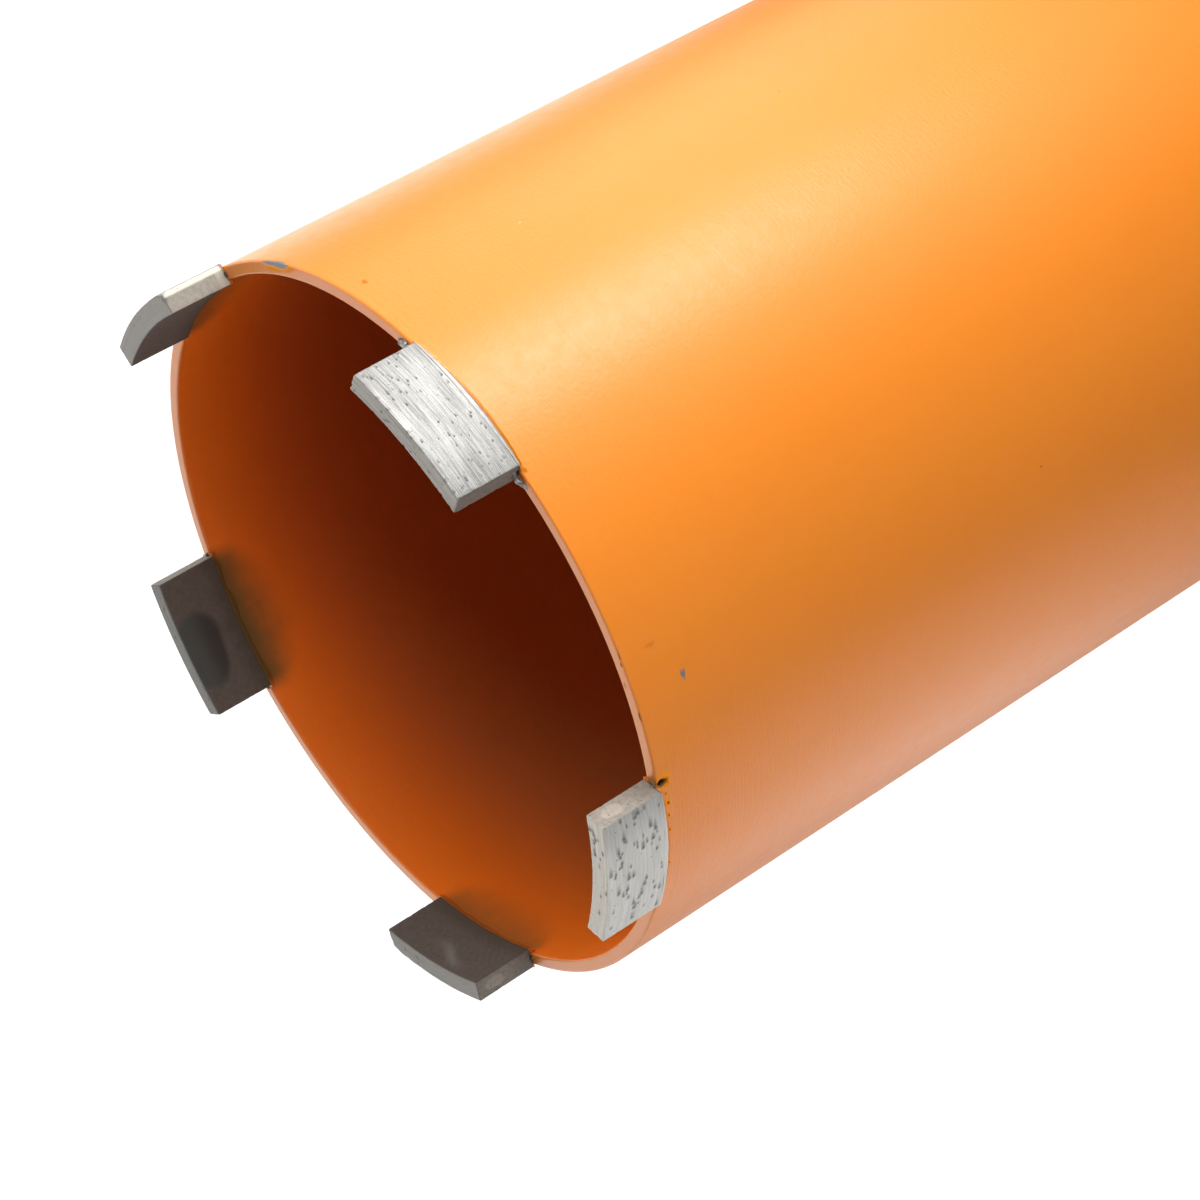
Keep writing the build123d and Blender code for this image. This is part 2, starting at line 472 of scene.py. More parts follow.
def barrel_profile():
    """Closed section of the wall as radius, depth below the rim, and which side of it each point is on."""
    length = RIM_Z - BACK_Z
    outer = [(BARREL_R, length - BACK_ROUND)] + [(BARREL_R, d) for d in reversed(OUTER_DEPTHS)]
    quarter = [math.radians(a) for a in (0, 30, 60, 90)]
    rounding = [(RIM_ROUND * (1 - math.cos(a)), RIM_ROUND * (1 - math.sin(a))) for a in quarter]
    outer_round = [(BARREL_R - inward, depth) for inward, depth in rounding]
    face = [(r, 0.0) for r in np.linspace(BARREL_R - RIM_ROUND, BORE_R + RIM_ROUND, 12)[1:-1]]
    inner_round = [(BORE_R + inward, depth) for inward, depth in rounding[::-1]]
    inner = [(BORE_R, d) for d in INNER_DEPTHS] + [(BORE_R, length - BACK_ROUND)]
    back = [(BORE_R + BACK_ROUND, length), (BARREL_R - BACK_ROUND, length)]
    points = outer + outer_round + face + inner_round + inner + back
    side = [1] * (len(outer) + 2) + [0] * (len(face) + 4) + [-1] * (len(inner) + 2) + [-2] * len(back)
    return np.array(points), np.array(side)


HEAT = (0.6, 0.8, 0.95, 0.65, 0.5)  # how much each segment's weld tinted the bore


def heat_tint(angle, depth):
    """Smoke and heat stain on the bore under and beside each segment."""
    gap, seat = seat_offset(angle)
    reach = smooth_step(13.8, 10.4, np.abs(gap + 0.4 * wave_noise(depth, 3, 4.0)))
    fade = smooth_step(11 - 5 * np.minimum((gap / 12) ** 2, 1), 0.3, depth + 0.4 * wave_noise(angle, 5, 5.0))
    return np.array(HEAT)[seat] * reach * fade


# Marks on the barrel: angle, place, half size across, half size down, raggedness and seed of a spot.
# The place is millimetres in from the outer wall for a mark on the rim's face, and below the rim for
# one on the outer wall.
KNOCK = (43.6, 0.30, 3.4, 0.52, 0.16, 2)  # on the rim's face, down to bare steel
KNOCK_RING = (43.3, 0.48, 4.2, 0.95, 0.12, 4)  # the paint lifted round it
KNOCK_WALL = (43.8, 0.15, 3.3, 0.30, 0.20, 2)  # and where it goes over to the wall
RIM_PITS = ((320.3, 0.1, 0.55), (319.1, 0.4, 0.35), (315.9, 1.3, 0.3), (311.3, 0.2, 0.6))
SCRAPE = (313.5, 8.3, 0.62, 0.42, 0.25, 5)  # on the wall, down to bare steel
WALL_STAINS = ((0.2, (319.6, 4.9, 0.3, 0.7, 0.2, 7)), (0.12, (313.0, 103.4, 2.0, 2.0, 0.2, 7)))
PAINT_RUNS = ((26.35, 3.2, 0.5, 0.3, 0.2, 7), (348.2, 0.45, 0.75, 0.45, 0.2, 7))
NOTCH = (60.3, 0.7, 0.33, 0.85, 0.15, 8)  # in the rim's face, beside segment 2
NOTCH_EDGE = (59.3, 0.3, 0.5, 0.3, 0.1, 9)
HOLLOW = (300.15, 0.95, 0.58, 0.85, 0.10, 3)  # left by the last seam at its upper end
HEAPED = (300.4, 1.05, 1.15, 1.45, 0.10, 6)  # the paint heaped round that
SCORCHED_RIM = (300.3, 0.9, 1.2, 0.9, 0.2, 4)


def make_barrel():
    """Painted tube, let in at its rim for the seams, with the marks that it has picked up, and painted shade deep
    in its bore and in its holes.
    """
    profile, side = barrel_profile()
    angle = np.linspace(0, 360, COLUMNS, endpoint=False)
    radius = np.repeat(profile[:, 0:1], COLUMNS, 1)
    depth = np.repeat(profile[:, 1:2], COLUMNS, 1)
    turn = np.repeat(angle[None, :], len(profile), 0)
    face = np.repeat(side[:, None], COLUMNS, 1)
    outside, inside, rim = face == 1, face == -1, face == 0

    gap, _ = seat_offset(turn)
    along = BARREL_R * np.radians(gap)
    let_in = seam_line(BARREL_R * np.sin(np.radians(gap)))
    depth = depth + let_in * np.clip(1 - depth / 12, 0, 1)
    under_sleeve = smooth_step(SLEEVE_HALF - 0.6, SLEEVE_HALF - 1.0, np.abs(along))
    under_sleeve = under_sleeve * smooth_step(SLEEVE_DEPTH - 0.5, SLEEVE_DEPTH - 0.8, depth)
    radius = radius - 0.35 * under_sleeve * outside
    from_outside = BARREL_R - radius

    def on_rim_face(mark):
        return spot(turn, from_outside, *mark) * rim

    def on_wall(mark):
        return spot(turn, depth, *mark) * outside

    chip = on_rim_face(KNOCK) + on_wall(KNOCK_WALL)
    scrape, notch = on_wall(SCRAPE), on_rim_face(NOTCH)
    hollow, heaped = on_wall(HOLLOW), on_wall(HEAPED)
    rim_pits = [0.75 * on_rim_face((*mark, 0.16, 0.2, seed)) for seed, mark in enumerate(RIM_PITS, 1)]
    stains = [amount * on_wall(mark) for amount, mark in WALL_STAINS]
    scorch = heat_tint(turn, depth) * inside + 0.55 * on_rim_face(SCORCHED_RIM)
    marks = {
        "inner": inside,
        # deep: where the bore's painted shade comes in
        "deep": smooth_step(6, 38, depth) * inside,
        "scorch": scorch,
        "bare": greatest((chip, scrape)),
        "fresh": greatest((on_rim_face(KNOCK_RING), heaped, on_rim_face(NOTCH_EDGE))),
        "thick": greatest(0.8 * on_wall(mark) for mark in PAINT_RUNS),
        # pit: near black as painted shade in the hollow and the notch; also dark spots on the rim and the wall's
        # stains
        "pit": greatest((*rim_pits, *stains, hollow, 0.9 * notch)),
    }

    radius = radius - 0.10 * chip * outside - 0.06 * scrape + 0.08 * heaped - 0.5 * hollow
    depth = depth + 0.16 * chip * rim + 0.4 * notch
    turn = np.radians(turn)
    points = np.stack([radius * np.cos(turn), radius * np.sin(turn), RIM_Z - depth], -1)
    faces = grid_faces(len(profile), COLUMNS, wrap_rows=True, wrap_columns=True)[:, ::-1]
    marks = {name: values.ravel() for name, values in marks.items()}
    make_piece("barrel_tube", points, faces, marked_paint, "barrel", marks, 40)


# ---- segments ----------------------------------------------------------------------------------

STEP = 0.15  # of the grid on a segment's skin


def box_surface(size, step):
    """Points and quads of a box's skin, one corner at 0, on a grid of about the given step."""
    counts = np.maximum(np.round(np.array(size) / step).astype(int), 1)
    quads = []
    index = np.full(tuple(counts + 1), -1)
    skin = np.zeros(tuple(counts + 1), bool)
    for axis in range(3):
        for end in (0, counts[axis]):
            where = [slice(None)] * 3
            where[axis] = end
            skin[tuple(where)] = True
    cells = np.argwhere(skin)
    index[tuple(cells.T)] = np.arange(len(cells))
    for axis in range(3):
        u, v = [a for a in range(3) if a != axis]
        for end in (0, counts[axis]):
            i, j = np.meshgrid(np.arange(counts[u]), np.arange(counts[v]), indexing="ij")
            corner = []
            for du, dv in ((0, 0), (1, 0), (1, 1), (0, 1)):
                cell = np.zeros(i.shape + (3,), int)
                cell[..., axis], cell[..., u], cell[..., v] = end, i + du, j + dv
                corner.append(index[cell[..., 0], cell[..., 1], cell[..., 2]])
            quad = np.stack(corner, -1).reshape(-1, 4)
            outward = (end > 0) == (axis != 1)
            quads.append(quad if outward else quad[:, ::-1])
    return cells / counts * np.array(size), np.concatenate(quads)


def pits_on(along, across, places, spread):
    """Depth of round pits, and the smear that grinding drew out behind each."""
    depth, smear = np.zeros_like(along), np.zeros_like(along)
    for x, y, size, deep, tail in places:
        dx, dy = along - x, across - y
        depth = np.maximum(depth, deep * smooth_step(1.0, 0.3, np.hypot(dx, dy) / size))
        drawn = np.where(dx * tail > 0, dx / abs(tail), dx / 0.9)
        smear = np.maximum(smear, smooth_step(1.0, 0.2, np.hypot(drawn, dy) / (spread * size)))
    return depth, smear


def grit_places(rng, count, length, height, size, clustered):
    """Places of the pits that lost grit left: (along, across, radius, depth, tail)."""
    places = []
    hubs = [(rng.uniform(1, length - 1), rng.uniform(1, height - 0.8)) for _ in range(max(3, count // 4))]
    for _ in range(count):
        if rng.uniform() < clustered:
            x, y = hubs[rng.integers(len(hubs))]
            x, y = x + rng.normal(0, 0.7), y + rng.normal(0, 0.45)
        else:
            x, y = rng.uniform(0.6, length - 0.6), rng.uniform(0.4, height - 0.5)
        places.append((x, y, size * rng.uniform(0.6, 1.5), rng.uniform(0.05, 0.16), rng.uniform(2, 5)))
    return places


# What a segment looks like where its own entry in SEGMENT_LOOKS says nothing else.
COMMON_LOOK = {
    "pits": 40, "size": 0.14, "spread": 1.3, "clustered": 0.4,  # of the pits on the ground face
    "black": 0.5,  # how dark the painted shade in them is
    "contrast": 0.6,  # of the grinding streaks
    "chips": 0.3,  # along the front edges
    "front": 1.0, "outer": 1.0, "end": 1.0,  # tones of the faces, set to how bright each looks, painted light and shade in part
    "shade": (0, 0),  # painted shade on the ground face toward its low and its high end
    "eased": 0.0,  # rounding of the low end where it meets the ground face, which has a painted highlight where the rounding is large
    "end_sheen": 0.0,  # of the ends: a painted sheen in the middle, over a foot that is darker
    "band": 0.0,  # of cream at the foot of the ends
    "stain": None, "smoke": None,  # on the inner face: (middle along, middle up, half sizes)
}
SEGMENT_LOOKS = (
    {
        "pits": 64, "size": 0.12, "clustered": 0.25, "black": 0.8, "contrast": 1.0, "chips": 1.0,
        "front": 1.12, "outer": 0.78, "end": 0.7, "shade": (0.20, 0.14),
    },
    {
        "pits": 24, "size": 0.12, "spread": 1.2, "clustered": 0.3, "black": 0.2, "contrast": 0.35,
        "front": 0.63, "end": 1.05, "eased": 0.80, "band": 1.0,
    },
    {"front": 0.40, "end": 0.9, "end_sheen": 0.3, "stain": (12.8, 8.0, 5.6, 5.0)},
    {
        "black": 0.4, "contrast": 0.5,
        "front": 0.52, "end": 0.74, "eased": 0.3, "end_sheen": 1.0, "smoke": (12.2, 7.3, 3.6, 0.9),
    },
    {
        "pits": 64, "size": 0.20, "spread": 1.9, "clustered": 0.55, "black": 0.25, "contrast": 0.42, "chips": 0.45,
        "front": 1.40, "outer": 1.16, "end": 1.35, "shade": (0.0, 0.22), "end_sheen": 0.8,
    },
)
SEGMENT_LOOKS = [COMMON_LOOK | look for look in SEGMENT_LOOKS]


def oval(x, y, middle_x, middle_y, half_x, half_y, seed):
    """Soft-edged, uneven oval: 1 inside, 0 outside."""
    dx, dy = (x - middle_x) / half_x, (y - middle_y) / half_y
    turn = np.arctan2(dy, dx)
    edge = 1 + 0.10 * np.sin(2 * turn + seed) + 0.06 * np.sin(3 * turn + 2 * seed)
    return smooth_step(1.12, 0.86, np.hypot(dx, dy) / edge)


def outer_shade(look, along):
    """Tone of the ground face, with painted shade that darkens it toward its two ends."""
    low, high = look["shade"]
    near_low, near_high = smooth_step(9, 0, along), smooth_step(SEGMENT_L - 7, SEGMENT_L, along)
    return look["outer"] * (1 - low * near_low - high * near_high)


def edge_rounding(look, number, along, up, inward):
    """Radius of a segment's edges, broken by grinding and chipped where grit has pulled out."""
    chip = np.zeros(len(along))
    for axis, (a, b) in enumerate(((along, up), (along, inward), (up, inward))):
        uneven = wave_noise(a, 31 * number + axis, 0.8) + 0.5 * wave_noise(b, 37 * number + axis, 0.6)
        chip += smooth_step(0.25, 1.1, uneven)
    rounding = 0.13 + 0.45 * look["chips"] * np.clip(chip, 0, 1) * smooth_step(1.0, 3.0, up)
    return rounding + look["eased"] * smooth_step(2.0, 1.2, along) * smooth_step(2.0, 1.2, inward)


def rounded_skin(cells, size, rounding):
    """The skin's points with rounded edges, except round the foot, and the way that each faces."""
    none = np.zeros(len(cells))
    core = np.clip(cells, np.stack([rounding, none, rounding], -1), size - rounding[:, None])
    out = cells - core
    reach = np.linalg.norm(out, axis=1, keepdims=True)
    at_foot = cells[:, 1:2] < 1e-6
    normal = np.where(at_foot & (reach < 1e-9), [0.0, -1.0, 0.0], out / np.maximum(reach, 1e-9))
    return core + np.where(reach > 1e-9, normal * rounding[:, None], 0), normal


def inner_marks(look, along, up):
    """Stain and smoke on a segment's inner face."""
    stain = smoke = np.zeros(len(along))
    if look["stain"]:
        stain = oval(along, up, *look["stain"], 1.3)
    if look["smoke"]:
        middle, level, length, width = look["smoke"]
        bend = level + 1.1 * np.sin((along - middle) / 1.9)
        smoke = np.exp(-(((up - bend) / width) ** 2) - ((along - middle) / length) ** 2)
    return stain, smoke


def make_segment(number):
    """One sintered segment: rounded and chipped edges, grinding lines, pits and sintered grain."""
    look = SEGMENT_LOOKS[number]
    rng = np.random.default_rng(100 + number)
    size = np.array([SEGMENT_L, SEGMENT_H, SEGMENT_T])
    cells, quads = box_surface(size, STEP)
    along, up, inward = cells.T
    surface, normal = rounded_skin(cells, size, edge_rounding(look, number, along, up, inward))
    outside = smooth_step(0.4, 0.8, -normal[:, 2])
    inside = smooth_step(0.4, 0.8, normal[:, 2])
    front = smooth_step(0.4, 0.8, normal[:, 1])
    ends = smooth_step(0.4, 0.8, np.abs(normal[:, 0]))

    # ground faces: fine grooves along the cut and pits; raw faces: sintered grain
    drift = up + 0.015 * (along - HALF_L) + 0.05 * wave_noise(along, 41 + number, 6.0)
    lines = wave_noise(drift, 51 + number, 0.30, 14) * 0.014
    front_lines = wave_noise(inward + 0.015 * along, 71 + number, 0.30, 14) * 0.014
    pits = grit_places(rng, look["pits"], SEGMENT_L, SEGMENT_H, look["size"], look["clustered"])
    deep, smear = pits_on(along, up, pits, look["spread"])
    front_pits = grit_places(rng, look["pits"] // 5, SEGMENT_L, SEGMENT_T, look["size"], 0.5)
    front_deep, front_smear = pits_on(along, inward, front_pits, look["spread"])
    grain = wave_noise(along + 0.7 * up, 91 + number, 0.5, 9) * wave_noise(up - 0.6 * inward, 92 + number, 0.45, 9)
    waviness = 0.03 * wave_noise(along + 0.4 * up, 61 + number, 4.0)
    push = outside * (lines - deep + waviness) + front * (front_lines - front_deep)
    push += (inside + ends) * 0.035 * grain
    surface = surface + normal * push[:, None]

    # on the round: the ends stay parallel, the faces follow their own radii
    height = surface[:, 1]
    points = on_seat(number, surface[:, 0] - HALF_L, SEGMENT_R - surface[:, 2], RIM_Z + height)

    stain, smoke = inner_marks(look, along, up)
    # painted sheen in the middle of each end, and the end darker toward its foot
    end_sheen = 0.35 * oval(inward, up, SEGMENT_T / 2, 7.0, 0.9, 2.0, 1.0) - 0.25 * smooth_step(5, 1, up)
    # painted highlight along the eased edge between an end and the ground face: brighter there, and cream through
    # the band mark
    eased_edge_highlight = (look["eased"] > 0.5) * smooth_step(1.4, 1.1, along) * smooth_step(1.05, 0.75, inward)
    end_tone = look["end"] * (1 + end_sheen * look["end_sheen"]) * (1 + 0.7 * eased_edge_highlight)
    band = look["band"] * smooth_step(1.7, 1.2, height + 0.15 * wave_noise(inward, 81 + number, 0.7))
    everywhere = np.ones(len(cells))
    marks = {
        "grain": cells, "front": front, "end": ends, "inside": inside,
        "stain": stain * inside, "smoke": smoke * inside,
        # tone: each face's tone, with painted light and shade in it: the ground face's shade, the ends' sheen, the
        # eased edge's highlight
        "tone": 1 + front * (look["front"] - 1) + ends * (end_tone - 1) + outside * (outer_shade(look, along) - 1),
        "black": look["black"] * everywhere, "contrast": look["contrast"] * everywhere,
        "smear": np.clip(smear * outside + front_smear * front, 0, 1),
        "pit_shade": np.clip((deep * outside + front_deep * front) / 0.10, 0, 1),
        # cream: the band wiped at the foot, and the eased edge's painted highlight
        "band": ends * np.maximum(eased_edge_highlight, band),
        "scorch": inside * smooth_step(3.5, 0.0, height + 0.5 * wave_noise(along, 83 + number, 3.0)),
    }
    name = f"segment_{number + 1}"
    make_piece(name + "_sintered", points, quads, segment_metal, name, marks)


# ---- seams under the segments ------------------------------------------------------------------

# Pinholes along the last seam: angle, depth below the rim and radius.
PINHOLES = ((298.2, 1.25, 0.14), (296.4, 1.50, 0.25), (294.2, 1.35, 0.19))
PINHOLES += ((291.6, 1.35, 0.16), (288.6, 1.3, 0.10), (285.0, 1.3, 0.13))
HEAPED_LIP = 0.35  # height of the paint's raised edge along a seam, as a share of the first seam's


def last_seam_marks(tt, dd, angle):
    """Pinholes with fresh paint round them, and the hollow at the seam's upper end with its heap."""
    pit, fresh = np.zeros_like(tt), np.zeros_like(tt)
    for at, deep, size in PINHOLES:
        place = BARREL_R * math.sin(math.radians(at - SEAT_ANGLES[-1]))
        away = np.hypot(tt - place, dd - deep) / size
        pit = np.maximum(pit, smooth_step(1.0, 0.6, away))
        fresh = np.maximum(fresh, smooth_step(2.6, 1.5, away))
    beyond = smooth_step(HALF_L - 0.7, HALF_L - 0.3, tt)
    hollow, heaped = spot(angle, dd, *HOLLOW) * beyond, spot(angle, dd, *HEAPED) * beyond
    return np.maximum(pit, hollow), np.maximum(fresh, heaped), hollow, heaped


def make_seam(number):
    """Ground weld under one segment, from the bare metal down to the paint's raised edge, which is coloured dark
    as painted shade.
    """
    look = SEGMENT_LOOKS[number]
    first, last = number == 0, number == SEGMENT_COUNT - 1
    t = np.linspace(-SLEEVE_HALF, SLEEVE_HALF, 220)
    d = np.linspace(0.0, SLEEVE_DEPTH, 26)
    tt, dd = np.meshgrid(t, d, indexing="xy")
    none, full = np.zeros_like(tt), np.ones_like(tt)
    edge = seam_line(np.clip(tt, -HALF_L + 0.01, HALF_L - 0.01)) + 0.05 * wave_noise(tt, 11 + number, 1.2)
    edge = edge * smooth_step(SLEEVE_HALF, HALF_L - 0.4, np.abs(tt))
    blend = 0.05 + (0.35 * smooth_step(3, 9, tt) if first else 0)
    bare = smooth_step(blend, -blend, dd - edge + blend * wave_noise(tt + 2 * dd, 19 + number, 0.5))
    # the paint's raised edge along the seam; its dark colour is painted shade beside the segment
    lip_height = smooth_step(6, -3, tt) * (0.7 + 0.6 * smooth_step(-2, -11, tt)) if first else HEAPED_LIP
    lip_and_shade = lip_height * np.exp(-(((dd - edge - 0.20) / 0.20) ** 2))

    # outer skin: proud at the segment, then down over the barrel, which it covers closely
    slope = smooth_step(1.12, 0.45, dd / np.maximum(edge, 0.15))
    within = smooth_step(SLEEVE_HALF, HALF_L - 0.2, np.abs(tt)) * smooth_step(SLEEVE_DEPTH, SLEEVE_DEPTH - 0.4, dd)
    outer_r = BARREL_R - 0.02 + (0.035 + 0.03 * lip_and_shade) * within + (SEGMENT_R - BARREL_R) * slope
    outer_r += 0.010 * wave_noise(dd + 0.015 * tt, 13 + number, 0.25, 9) * bare
    pit, fresh = none, none
    if last:
        angle = SEAT_ANGLES[number] + np.degrees(np.arcsin(tt / BARREL_R))
        pit, fresh, hollow, heaped = last_seam_marks(tt, dd, angle)
        bare = bare * (1 - np.maximum(hollow, heaped))
        outer_r = outer_r + 0.05 * fresh - 0.2 * hollow - 0.25 * pit

    # inner skin: the same, without the raised edge
    inside_edge = 0.9 + 0.2 * wave_noise(tt, 17 + number, 2.5)
    step_in = BORE_R - (SEGMENT_R - SEGMENT_T)
    inner_r = BORE_R - 0.015 - step_in * smooth_step(1.3, 0.0, dd / np.maximum(inside_edge, 0.3))

    skins = [on_seat(number, tt, r, RIM_Z - dd) for r in (outer_r, inner_r)]
    ring = np.concatenate([skins[0], skins[1][::-1]], 0)
    rows, columns = ring.shape[:2]
    row = np.arange(rows // 2 - 1)
    ladder = np.stack([row, row + 1, rows - 2 - row, rows - 1 - row], -1) * columns
    quads = np.concatenate([grid_faces(rows, columns, wrap_rows=True), ladder, ladder + columns - 1])

    def both(outer_values, inner_values):
        return np.concatenate([outer_values, inner_values[::-1]], 0).ravel()

    bore_angle = SEAT_ANGLES[number] + np.degrees(np.arcsin(tt / BORE_R))
    marks = {
        "bare": both(bare, none), "pit": both(pit, none), "inner": both(none, full),
        "lip_and_shade": both(np.clip(lip_and_shade, 0, 1) * (1 - bare), none), "fresh": both(fresh, none),
        "scorch": both(none, heat_tint(bore_angle, dd)),
        "grain": np.stack([both(tt, tt) + HALF_L, both(-dd, -dd), both(none, SEGMENT_T * full)], -1),
        # the seam's ground metal takes the segment's tone, its painted shade included
        "tone": both(outer_shade(look, tt + HALF_L), full), "contrast": both(look["contrast"] * full, full),
    }
    name = f"segment_weld_{number + 1}"
    make_piece(name + "_seam", ring, quads, seam_metal, name, marks, 50)


def seam_material():
    """Ground weld that runs under the edge of the paint."""
    s = Shader("seam")
    coat, coat_rough, coat_normal = coat_nodes(s, s.place())
    metal, streak = ground_nodes(s, s.mark_vector("grain"))
    # the raised edge takes the dark colour: painted shade
    coat = s.layered(coat, {"inner": INSIDE_ORANGE, "lip_and_shade": THICK_PAINT_AND_SHADE, "fresh": FRESH_ORANGE, "scorch": BURNT})
    bare = s.mark("bare")
    # pinholes and the hollow are coloured near black: painted shade
    colour = s.mix(s.mark("pit"), s.mix(bare, coat, metal), HOLE_SHADE_AND_STAIN)
    rough, gloss = dulled(s, s.math("MULTIPLY_ADD", bare, 0.12, coat_rough), "lip_and_shade", "fresh", "pit")
    shine = {"Roughness": rough, "Specular_IOR_Level": gloss, "Metallic": s.math("MULTIPLY", bare, 0.75)}
    normal = s.bump(s.math("MULTIPLY", streak, bare), 0.00008, 0.8, coat_normal)
    return s.finish(Base_Color=colour, Normal=normal, **shine)


seam_metal = seam_material()

# ---- beads at the ends of the seams ------------------------------------------------------------

BEAD_LUMPS = 0.45  # unevenness, as a share of a bead's radius
# Beads of bare metal, by segment and side. Each has a path, as angle, radius and height over the
# rim, and its radii along it. Every other end of a seam has the small burnt one.
BARE_BEADS = {
    (0, 1): (
        ((11.4, 56.8, 0.0), (12.6, 56.7, 0.15), (13.9, 56.6, 0.1), (14.8, 56.7, -0.2)),
        (0.55, 0.62, 0.5, 0.2),
    ),
    (0, -1): (
        ((348.9, 57.3, 0.25), (348.2, 56.9, 0.5), (347.3, 56.5, 0.4), (346.4, 56.5, 0.05), (345.6, 56.7, -0.2)),
        (0.28, 0.36, 0.34),
    ),
    (SEGMENT_COUNT - 1, 1): (
        ((299.65, 56.6, 0.25), (299.75, 57.1, 0.0), (299.7, 57.6, -0.45), (299.6, 57.9, -0.9)),
        (0.16, 0.2, 0.15, 0.1),
    ),
}
BURNT_WIDTHS = (0.16, 0.26, 0.16)  # the small burnt bead's radii


def on_rim(angle, radius, height):
    """Point over the rim face, in millimetres."""
    turn = math.radians(angle)
    return radius * math.cos(turn), radius * math.sin(turn), RIM_Z + height


def make_bead(name, path, widths, seed, material):
    """Small lump of weld that follows a path of points."""
    path = np.array(path)
    fine = np.linspace(0, 1, 22)
    given = np.linspace(0, 1, len(path))
    line = np.stack([np.interp(fine, given, path[:, k]) for k in range(3)], -1)
    width = np.interp(fine, np.linspace(0, 1, len(widths)), widths)
    forward = np.gradient(line, axis=0)
    forward /= np.linalg.norm(forward, axis=1, keepdims=True)
    side = np.cross(forward, [0, 0, 1.0])
    side /= np.linalg.norm(side, axis=1, keepdims=True)
    over = np.cross(side, forward)
    turn = np.linspace(0, 2 * np.pi, 14, endpoint=False)
    taper = np.sqrt(np.clip(1 - (2 * fine - 1) ** 6, 0.0004, 1))
    lean = wave_noise(fine * 10, seed, 1.5)[:, None] * np.cos(turn + seed)
    flat = wave_noise(fine * 10, seed + 1, 1.0)[:, None] * np.cos(2 * turn)
    radius = (width * taper)[:, None] * (1 + BEAD_LUMPS * (lean + 0.6 * flat))
    round_it = np.cos(turn)[:, None] * side[:, None] + np.sin(turn)[:, None] * over[:, None]
    points = line[:, None] + radius[..., None] * round_it
    faces = grid_faces(len(fine), len(turn), wrap_columns=True)
    make_piece(name, points, faces, material, sharp_angle=22)


def make_weld_ends():
    """Where the laser ran on past a segment and left a lump on the rim."""
    for number in range(SEGMENT_COUNT):
        for way in (-1, 1):
            at = SEAT_ANGLES[number] + way * 12.0
            path = ((at - way * 0.8, 57.1, -0.10), (at, 56.8, -0.02), (at + way * 0.5, 56.2, -0.15))
            widths, metal = BURNT_WIDTHS, burnt_weld
            if (number, way) in BARE_BEADS:
                path, widths = BARE_BEADS[number, way]
                metal = weld_metal
            name = f"weld_end_{number + 1}_{'a' if way < 0 else 'b'}"
            make_bead(name, [on_rim(*place) for place in path], widths, 7 * number + way + 5, metal)


# ---- hub: thread, and the welds of hub and plate -----------------------------------------------

THREAD_PITCH = 1.814  # G 1/2, 14 to the inch
THREAD_DEPTH = 1.162
THREAD_MARGIN = 0.9  # from each end of the bore
STEPS_A_TURN = 72


def make_thread():
    """Ridge of the female pipe thread, wound up the hub's bore."""
    length = HUB_TOP_Z - 2 * THREAD_MARGIN
    turns = length / THREAD_PITCH
    along = np.linspace(0, 1, int(turns * STEPS_A_TURN))
    turn = along * turns * 2 * np.pi
    z = THREAD_MARGIN + along * length
    runout = smooth_step(0, 0.6, along * turns) * smooth_step(turns, turns - 0.6, along * turns)
    half = THREAD_PITCH / 2
    flank = ((0.06, 1.0), (-THREAD_DEPTH * 0.9, 0.22), (-THREAD_DEPTH, 0.1))  # inward, share of half
    section = [(inward, -share * half) for inward, share in flank]
    section += [(inward, share * half) for inward, share in reversed(flank)]
    rows = []
    for inward, rise in section:
        r = THREAD_R + np.where(inward > 0, inward, inward * runout)
        rows.append(np.stack([r * np.cos(turn), r * np.sin(turn), z + rise], -1))
    points = np.stack(rows, 1)
    faces = grid_faces(len(along), len(section), wrap_columns=True)
    make_piece("hub_thread", points, faces, thread_steel, sharp_angle=35)


WELD_BOW = 0.21  # rise of a ring weld's crest
WELD_SCALLOP = 0.09  # and of its ripples over that


def make_ring_weld(node, wall_r, wall_leg, plate_leg, ripples):
    """Painted fillet weld laid in overlapping scallops round a joint."""
    turn = np.radians(np.linspace(0, 360, 1200, endpoint=False))
    away = 1 if plate_leg > 0 else -1
    uneven = 1 + 0.05 * wave_noise(np.degrees(turn) * 0.1, 5, 1.2)
    uneven[-40:] = np.linspace(uneven[-40], uneven[0], 40)
    rows = []
    for across in np.linspace(0, 1, 17):
        bow = math.sin(math.pi * across)
        scallop = 1 - np.abs(np.sin((ripples * turn - 2.2 * bow) / 2)) ** 0.6
        rise = (WELD_BOW + WELD_SCALLOP * scallop) * bow
        r = wall_r + plate_leg * across * uneven + away * rise
        z = PLATE_Z - wall_leg * (1 - across) * uneven - rise
        rows.append(np.stack([r * np.cos(turn), r * np.sin(turn), z], -1))
    root = np.stack([wall_r * np.cos(turn), wall_r * np.sin(turn), np.full_like(turn, PLATE_Z)], -1)
    points = np.stack(rows + [root], 0)
    faces = grid_faces(len(points), points.shape[1], wrap_rows=True, wrap_columns=True)
    make_piece(node + "_bead", points, faces, paint, node, sharp_angle=60)


# ---- building the object -----------------------------------------------------------------------

make_barrel()
for seat_number in range(SEGMENT_COUNT):
    make_segment(seat_number)
    make_seam(seat_number)
make_weld_ends()
make_thread()
make_ring_weld("hub_weld", radial_span(node_points("hub_weld"))[0], 4.0, 4.0, ripples=54)
make_ring_weld("plate_weld", radial_span(node_points("plate_weld"))[1], 2.0, -3.0, ripples=130)
for node in ("end_plate", "hub"):
    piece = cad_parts[node]
    piece.data.materials.clear()
    piece.data.materials.append(paint)

# ---- floor, light and camera -------------------------------------------------------------------

FLOOR_SIZE = 8.0
FLOOR_SEEN = 0.76  # glow that makes it white to the camera
FLOOR_GLOW = 0.16  # and what it gives the object
FLOOR_MIRRORED = 0.55  # and what reflections see of it
